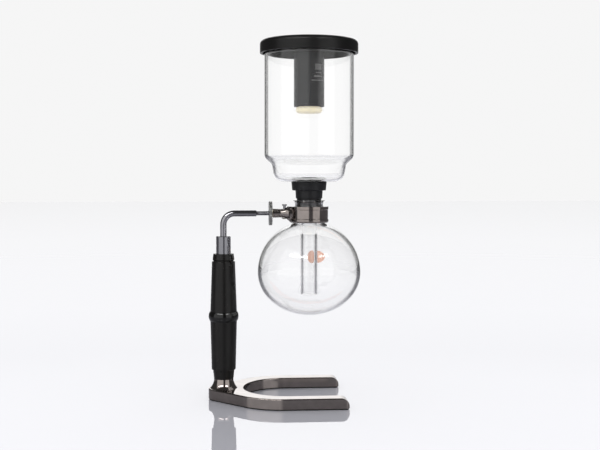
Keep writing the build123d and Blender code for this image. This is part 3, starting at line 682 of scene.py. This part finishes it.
@dataclass
class Flask:
    """The blown lower bowl: a round body on an oval bottom, a neck and a flared lip."""

    wall: float = 1.7 * MM
    neck_wall: float = 1.5 * MM
    neck_radius: float = 13.25 * MM
    shoulder_rounding: float = 2.5 * MM
    bottom_drop: float = 40.7 * MM            # from the widest height to the bottom
    lip_start_below: float = 4.4 * MM         # the flare's height
    lip_overhang: float = 2.2 * MM
    lip_bead: float = 0.75 * MM               # half the lip's thickness
    mark_place: tuple[float, float] = (10.0 * MM, 130.9 * MM)
    mark_size: tuple[float, float] = (19.0 * MM, 13.4 * MM)
    segments: int = 160

    def half_profile(self, inset: float, neck: float, rounding: float,
                     flare: float) -> np.ndarray:
        """One face of the wall, from the bottom pole up to the lip.

        An ellipse below the widest height, a circle above it, then an arc of the given
        rounding that touches both the circle and the neck, the neck, and a quarter ellipse
        outward for the flare.

        Args:
            inset: how far inside the outer face this one lies.
            neck: the neck's radius on this face.
            rounding: radius of the arc between bowl and neck.
            flare: how far the lip stands out.

        Returns:
            Rows of (radius, height) in metres.
        """
        low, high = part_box("flask")
        middle = low.z + self.bottom_drop
        radius = (high.x - low.x) / 2 - inset
        drop = self.bottom_drop - inset
        rise = math.sqrt((radius + rounding) ** 2 - (neck + rounding) ** 2)
        touch = math.degrees(math.atan2(rise, neck + rounding))
        flare_start = high.z - self.lip_start_below
        return np.vstack((
            arc((0, middle), (radius, drop), -90, 0, 40)[:-1],
            arc((0, middle), (radius, radius), 0, touch, 44)[:-1],
            arc((neck + rounding, middle + rise), (rounding, rounding), 180 + touch, 180, 8),
            arc((neck + flare, flare_start), (flare, self.lip_start_below), 180, 100, 9),
        ))

    def build(self) -> None:
        """Makes the shell of two faces joined over the lip, and its oval print."""
        outer = self.half_profile(0.0, self.neck_radius, self.shoulder_rounding,
                                  self.lip_overhang)
        inner = self.half_profile(self.wall, self.neck_radius - self.neck_wall,
                                  self.shoulder_rounding + self.neck_wall, self.lip_overhang)
        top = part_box("flask")[1].z
        outer[-9:, 1] = np.minimum(outer[-9:, 1], top - self.lip_bead)
        outer[:, 0] = np.maximum(outer[:, 0], 0.0)
        inner[:, 0] = np.maximum(inner[:, 0], 0.0)
        outer[0, 0] = 0.0
        inner[0, 0] = 0.0
        inner[-9:, 1] = np.minimum(inner[-9:, 1], top - self.lip_bead)
        bead_centre = (outer[-1] + inner[-1]) / 2
        bead_radius = float(np.linalg.norm(outer[-1] - inner[-1])) / 2
        bead = arc(tuple(bead_centre), (bead_radius, bead_radius), 0, 180, 9)[1:-1]
        profile = supported(np.vstack((outer, bead, inner[::-1])))
        grid = revolve(profile, self.segments)
        piece = make_piece("blown_flask", grid, FLASK_GLASS, (False, True), 60.0)
        settle(piece, BodyName.STAND, ["flask"])
        self.build_mark()

    def build_mark(self) -> None:
        """Prints a plain oval on the back of the bowl.

        With u across and t from top to bottom, x = x0 + a u sqrt(1 - t2), z = z0 + b t, and
        y follows the bowl: y = sqrt(r2 - x2 - (z - zc)2).
        """
        low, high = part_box("flask")
        radius = (high.x - low.x) / 2 + 2 * PRINT_LIFT
        middle = low.z + self.bottom_drop
        across, down = np.linspace(-1, 1, 25), np.linspace(-0.995, 0.995, 25)
        u, t = np.meshgrid(across, down)
        x = self.mark_place[0] + self.mark_size[0] / 2 * u * np.sqrt(1 - t ** 2)
        z = self.mark_place[1] + self.mark_size[1] / 2 * t
        y = np.sqrt(radius ** 2 - x ** 2 - (z - middle) ** 2)
        points = np.stack((x, y, z), axis=2)
        outward = (points - (0, 0, middle)) / radius
        piece = patch("oval_mark", (points, outward), 0.08 * MM, DECAL_ENAMEL)
        settle(piece, BodyName.STAND)


@dataclass
class Chamber:
    """The upper chamber: cylinder, stepped well and long tube, one piece of glass."""

    wall: float = 1.8 * MM
    shoulder_height: float = 228.6 * MM
    well_top: tuple[float, float] = (35.2 * MM, 222.4 * MM)
    well_bottom_radius: float = 32.6 * MM
    tube_radius: float = 8.0 * MM
    roundings: tuple[float, float, float, float] = (7.0 * MM, 4.5 * MM, 9.5 * MM, 1.0 * MM)
    stopper_body: float = 12.9 * MM
    stopper_plug: float = 11.6 * MM
    stopper_tip: float = 10.9 * MM
    stopper_steps: tuple[float, float, float] = (8.4 * MM, 16.0 * MM, 26.0 * MM)
    stopper_edge: float = 0.7 * MM
    bore_clearance: float = 0.03 * MM
    foot_height: float = 0.4 * MM
    foot_rounding: float = 0.35 * MM
    segments: int = 144

    def build(self) -> None:
        """Makes the glass from an outer face, and an inner one a wall's thickness inside."""
        low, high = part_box("chamber")
        radius = (high.x - low.x) / 2
        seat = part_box("stopper")[1].z
        first, second, third, fourth = self.roundings
        wall = self.wall
        slope = math.atan2(self.shoulder_height - self.well_top[1], radius - self.well_top[0])
        shift = wall * math.tan((math.pi / 2 - slope) / 2)
        outer = rounded((
            (radius, high.z - 0.5 * wall, 0),
            (radius, self.shoulder_height, first),
            (self.well_top[0], self.well_top[1], second),
            (self.well_bottom_radius, seat, third),
            (self.tube_radius, seat, fourth),
            (self.tube_radius, low.z + self.foot_height, 0),
        ), 10)
        inner = rounded((
            (radius - wall, high.z - 0.5 * wall, 0),
            (radius - wall, self.shoulder_height + shift, first - wall),
            (self.well_top[0] - wall, self.well_top[1] + shift, second + wall),
            (self.well_bottom_radius - wall, seat + wall, third - wall),
            (self.tube_radius - wall, seat + wall, fourth + wall),
            (self.tube_radius - wall, low.z + self.foot_height, 0),
        ), 10)
        rim = arc((radius - wall / 2, high.z - 0.5 * wall), (wall / 2, wall / 2), 180, 0, 9)
        foot = rounded((
            (self.tube_radius, low.z + self.foot_height, 0),
            (self.tube_radius, low.z, self.foot_rounding),
            (self.tube_radius - wall, low.z, self.foot_rounding),
            (self.tube_radius - wall, low.z + self.foot_height, 0),
        ), 4)
        profile = supported(np.vstack((outer, foot[1:-1], inner[::-1], rim[1:-1])))
        piece = make_piece("blown_chamber", revolve(profile, self.segments), CHAMBER_GLASS,
                           (True, True), 60.0)
        settle(piece, BodyName.CHAMBER, ["chamber"])
        self.build_stopper()

    def build_stopper(self) -> None:
        """Makes the stopper: a tapered flange and body over a plug that fills the neck.

        Its section is a run of straight lines with rounded corners, carried round the tube.
        """
        low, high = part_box("stopper")
        top, bottom = high.z, low.z
        flange = (high.x - low.x) / 2
        flange_foot, body_foot, taper_top = (top - step for step in self.stopper_steps)
        bore = self.tube_radius + self.bore_clearance
        edge = self.stopper_edge
        corners = (
            (bore, top, 0.3 * MM),
            (flange, top, edge),
            (flange - 0.8 * MM, flange_foot, edge),
            (self.stopper_body, flange_foot, 0.5 * MM),
            (self.stopper_body - 0.4 * MM, body_foot, 0.3 * MM),
            (self.stopper_plug, body_foot, 0.15 * MM),
            (self.stopper_plug, taper_top, edge),
            (self.stopper_tip, bottom, edge),
            (bore, bottom, 0.3 * MM),
        )
        section = rounded(corners, 6, closed=True)
        section = supported(np.vstack((section, section[:1])))[:-1]
        piece = make_piece("rubber_stopper", revolve(section, self.segments), STOPPER_RUBBER,
                           (True, True), 50.0)
        settle(piece, BodyName.CHAMBER, ["stopper"])


@dataclass
class Lid:
    """The lid's cap and sleeve, with a plain printed block of bars on the sleeve."""

    sleeve_radius: float = 14.4 * MM
    bar_direction: float = 33.0               # degrees from the front towards the right
    bars: tuple[tuple[float, float, float], ...] = (
        (313.0, 7.5, 5.5), (307.6, 6.0, 1.1), (304.2, 9.5, 1.3), (300.4, 14.5, 0.9),
    )                                         # height, width and depth in millimetres

    def build(self) -> None:
        """Dresses the cap and the sleeve, and prints the bars."""
        dress_node("lid_cap", LID_PLASTIC)
        dress_node("lid_sleeve", SLEEVE_PLASTIC)
        for number, bar in enumerate(self.bars, 1):
            self.build_bar(number, *bar)

    def build_bar(self, number: int, height: float, width: float, depth: float) -> None:
        """Prints one bar: x = r sin a, y = -r cos a, z = z0 + depth t.

        Args:
            number: which bar, for its name.
            height: its middle's height in millimetres.
            width: its length round the sleeve in millimetres.
            depth: its height in millimetres.
        """
        radius = self.sleeve_radius + PRINT_LIFT
        reach = width * MM / 2 / radius
        turn = math.radians(self.bar_direction) + np.linspace(-reach, reach, 17)
        a, t = np.meshgrid(turn, np.linspace(-0.5, 0.5, 5))
        outward = np.stack((np.sin(a), -np.cos(a), np.zeros_like(a)), axis=2)
        points = outward * radius
        points[:, :, 2] = (height + depth * t) * MM
        piece = patch(f"sleeve_bar_{number}", (points, outward), 0.05 * MM, PRINT_INK)
        settle(piece, BodyName.LID)


@dataclass
class Filter:
    """The stowed filter: flannel drawn over two discs, with stud, spring, chain and hook."""

    steel_nodes: tuple[str, ...] = ("filter_disc", "filter_cover", "filter_post",
                                    "filter_spring", "filter_chain", "filter_hook")
    pleats: int = 22
    pleat_depth: float = 0.35 * MM
    cloth_thickness: float = 0.8 * MM
    mouth_radius: float = 5.6 * MM
    segments: int = 220

    def build(self) -> None:
        """Makes the cloth as a pleated bag and dresses the steel parts.

        The bag's section is a flat pad with round edges; on top it gathers into pleats, a
        ripple of height depth * cos(pleats * a) that fades out towards the rim.
        """
        low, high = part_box("filter_cloth")
        half = (high.z - low.z) / 2
        rim = (high.x - low.x) / 2
        middle = low.z + half
        under = np.column_stack((np.linspace(0, rim - half, 14)[:-1], np.full(13, low.z)))
        edge = arc((rim - half, middle), (half, half), -90, 90, 18)
        over = np.column_stack((np.linspace(rim - half, self.mouth_radius, 16)[1:],
                                np.full(15, high.z)))
        outer = np.vstack((under, edge, over))
        skin = self.cloth_thickness
        inner_edge = arc((rim - half, middle), (half - skin, half - skin), 90, -90, 14)
        inner = np.vstack((
            np.column_stack((np.linspace(self.mouth_radius, rim - half, 10)[:-1],
                             np.full(9, high.z - skin))),
            inner_edge,
            np.column_stack((np.linspace(rim - half, 0, 10)[1:], np.full(9, low.z + skin))),
        ))
        profile = np.vstack((outer, inner))
        grid = revolve(profile, self.segments)
        angle = np.linspace(0, math.tau, self.segments, endpoint=False)
        fade = np.clip((rim - profile[:, 0]) / (rim - self.mouth_radius), 0, 1)
        upper = np.clip((profile[:, 1] - middle) / half, 0, 1)
        ripple = (np.cos(self.pleats * angle) - 1) / 2 * self.pleat_depth
        grid[:, :, 2] += (fade * upper)[:, None] * ripple
        piece = make_piece("flannel_bag", grid, FLANNEL, (False, True), 50.0)
        settle(piece, BodyName.FILTER, ["filter_cloth"])
        for node in self.steel_nodes:
            dress_node(node, FILTER_STEEL)


# ------------------------------------------------------------------ stage, light and camera
@dataclass
class Studio:
    """A pale glossy table, an even backdrop, two softboxes and dark flags, and the camera."""

    backdrop: float = 0.92                    # linear light of the pale backdrop
    through_glass: float = 1.0                # more, for what the walls take away
    box_light: float = 1.2
    strip_light: float = 15.0                 # the lamps' bright cores, high in the softboxes
    room_light: float = 0.1                   # the dark room, as polished metal mirrors it
    left_box: tuple[float, float] = (-80.0, -5.0)
    right_box: tuple[float, float] = (19.0, 63.0)
    box_rise: tuple[float, float] = (-8.0, 48.0)
    strips: tuple[tuple[float, float], ...] = ((-60.0, -8.0), (22.0, 48.0))
    strip_rise: tuple[float, float] = (36.0, 41.0)
    table_size: float = 12.0
    distance: float = 0.963
    height: float = 0.217
    azimuth: float = -4.5
    horizon_shift: float = -0.0283            # the frame hangs a little below the line of sight
    look_down: float = 2.15
    turn_left: float = 0.51
    lens: float = 61.0

    def camera(self) -> None:
        """Places the camera in front of the maker, a little to the post's side."""
        data = bpy.data.cameras.new("camera")
        data.lens = self.lens
        data.sensor_width = 36.0
        data.shift_y = self.horizon_shift
        data.clip_start = 0.01
        data.clip_end = 50.0
        camera = bpy.data.objects.new("camera", data)
        bpy.context.scene.collection.objects.link(camera)
        side = math.radians(self.azimuth)
        camera.location = (self.distance * math.sin(side), -self.distance * math.cos(side),
                           self.height)
        camera.rotation_euler = (math.radians(90 - self.look_down), 0,
                                 side + math.radians(self.turn_left))
        bpy.context.scene.camera = camera

    def table(self) -> None:
        """A flat sheet of pale gloss acrylic: it mirrors strongly at a low angle."""
        half = self.table_size / 2
        steps = np.linspace(-half, half, 3)
        x, y = np.meshgrid(steps, steps)
        mesh = bpy.data.meshes.new("table")
        grid = np.stack((x, y, np.zeros_like(x)), axis=2)
        index = np.arange(9).reshape(3, 3)
        faces = np.stack((index[:-1, :-1], index[:-1, 1:], index[1:, 1:], index[1:, :-1]), axis=2)
        mesh.from_pydata(grid.reshape(-1, 3).tolist(), [], faces.reshape(-1, 4).tolist())
        material = bpy.data.materials.new("pale_gloss_acrylic")
        material.use_nodes = True
        surface = material.node_tree.nodes["Principled BSDF"]
        surface.inputs["Base Color"].default_value = linear("c5c5cd")
        surface.inputs["Roughness"].default_value = 0.02
        surface.inputs["IOR"].default_value = 1.5
        mesh.materials.append(material)
        table = bpy.data.objects.new("table", mesh)
        bpy.context.scene.collection.objects.link(table)

    def softbox(self, tree: bpy.types.NodeTree, azimuth: bpy.types.NodeSocket,
                elevation: bpy.types.NodeSocket, span: tuple[float, float],
                rise: tuple[float, float], light: float, soft: float = 3.0
                ) -> bpy.types.NodeSocket:
        """The light of one box-shaped source, by direction.

        Args:
            tree: the world's node tree.
            azimuth: direction round the vertical, in degrees, 0 towards -Y.
            elevation: direction above the horizon, in degrees.
            span: first and last azimuth.
            rise: lowest and highest elevation.
            light: the source's brightness.
            soft: width of its soft border, in degrees.

        Returns:
            The brightness socket.
        """
        sides = (
            remap(tree, azimuth, 0.0, 1.0, span[0] - soft, span[0] + soft),
            remap(tree, azimuth, 1.0, 0.0, span[1] - soft, span[1] + soft),
            remap(tree, elevation, 0.0, 1.0, rise[0] - soft, rise[0] + soft),
            remap(tree, elevation, 1.0, 0.0, rise[1] - soft, rise[1] + soft),
        )
        product = sides[0]
        for side in sides[1:]:
            product = add_node(tree, "Math", {"operation": "MULTIPLY"},
                               {0: product, 1: side}).outputs[0]
        return add_node(tree, "Math", {"operation": "MULTIPLY"},
                        {0: product, 1: light}).outputs[0]

    def world(self) -> None:
        """Even light for what is seen directly and through glass, softboxes in reflections."""
        world = bpy.data.worlds.new("studio")
        world.use_nodes = True
        bpy.context.scene.world = world
        tree = world.node_tree
        tree.nodes.clear()
        coords = add_node(tree, "TexCoord")
        split = add_node(tree, "SeparateXYZ", None, {0: coords.outputs["Generated"]})
        back = add_node(tree, "Math", {"operation": "MULTIPLY"}, {0: split.outputs["Y"], 1: -1.0})
        turn = add_node(tree, "Math", {"operation": "ARCTAN2"},
                        {0: split.outputs["X"], 1: back.outputs[0]})
        azimuth = add_node(tree, "Math", {"operation": "DEGREES"}, {0: turn.outputs[0]}).outputs[0]
        lift = add_node(tree, "Math", {"operation": "ARCSINE"}, {0: split.outputs["Z"]})
        elevation = add_node(tree, "Math", {"operation": "DEGREES"},
                             {0: lift.outputs[0]}).outputs[0]
        gentle = remap(tree, elevation, 0.74, 2.19, 0.0, 20.0)
        steep = remap(tree, elevation, 0.0, 0.62, 10.0, 20.0)
        climb = add_node(tree, "Math", {"operation": "ADD"}, {0: gentle, 1: steep}).outputs[0]
        ceiling = remap(tree, elevation, 1.0, 0.0, 24.0, 50.0)
        sweep = add_node(tree, "Math", {"operation": "MULTIPLY"}, {0: climb, 1: ceiling})
        lean = add_node(tree, "Math", {"operation": "DIVIDE"},
                        {0: split.outputs["X"], 1: split.outputs["Y"]}).outputs[0]
        left_end = remap(tree, lean, 0.0, 1.0, -0.30, -0.24)
        right_end = remap(tree, lean, 1.0, 0.0, 0.39, 0.45)
        behind = add_node(tree, "Math", {"operation": "GREATER_THAN"},
                          {0: split.outputs["Y"], 1: 0.0})
        back_light = sweep
        for part in (left_end, right_end, behind.outputs[0]):
            back_light = add_node(tree, "Math", {"operation": "MULTIPLY"},
                                  {0: back_light.outputs[0], 1: part})
        boxes = [self.softbox(tree, azimuth, elevation, span, self.box_rise, self.box_light)
                 for span in (self.left_box, self.right_box)]
        strips = [self.softbox(tree, azimuth, elevation, span, self.strip_rise,
                               self.strip_light, 1.0) for span in self.strips]
        total = self.room_light
        for source in (back_light.outputs[0], *boxes, *strips):
            total = add_node(tree, "Math", {"operation": "ADD"}, {0: source, 1: total}).outputs[0]
        path = add_node(tree, "LightPath")
        mirrored = add_node(tree, "Math", {"operation": "SUBTRACT", "use_clamp": True},
                            {0: path.outputs["Is Glossy Ray"],
                             1: path.outputs["Is Transmission Ray"]}).outputs[0]
        direct = add_node(tree, "Mix", {"data_type": "FLOAT"},
                          {0: path.outputs["Is Transmission Ray"], 2: self.backdrop,
                           3: self.through_glass}).outputs[0]
        light = add_node(tree, "Mix", {"data_type": "FLOAT"},
                         {0: mirrored, 2: direct, 3: total}).outputs[0]
        background = add_node(tree, "Background", None,
                              {"Color": (1.0, 1.0, 1.0, 1.0), "Strength": light})
        add_node(tree, "OutputWorld", None, {"Surface": background.outputs[0]})

    def build(self) -> None:
        """Sets up table, world and camera, and a plain colour transform."""
        self.table()
        self.world()
        self.camera()
        scene = bpy.context.scene
        scene.view_settings.view_transform = "Standard"
        LOG.info("studio ready")


def main() -> None:
    """Builds every sub-assembly in order."""
    logging.basicConfig(level=logging.INFO, format="%(name)s: %(message)s")
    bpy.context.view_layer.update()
    for part in (Stand(), Clamp(), Flask(), Chamber(), Lid(), Filter()):
        part.build()
    Studio().build()


if __name__ == "__main__":
    main()
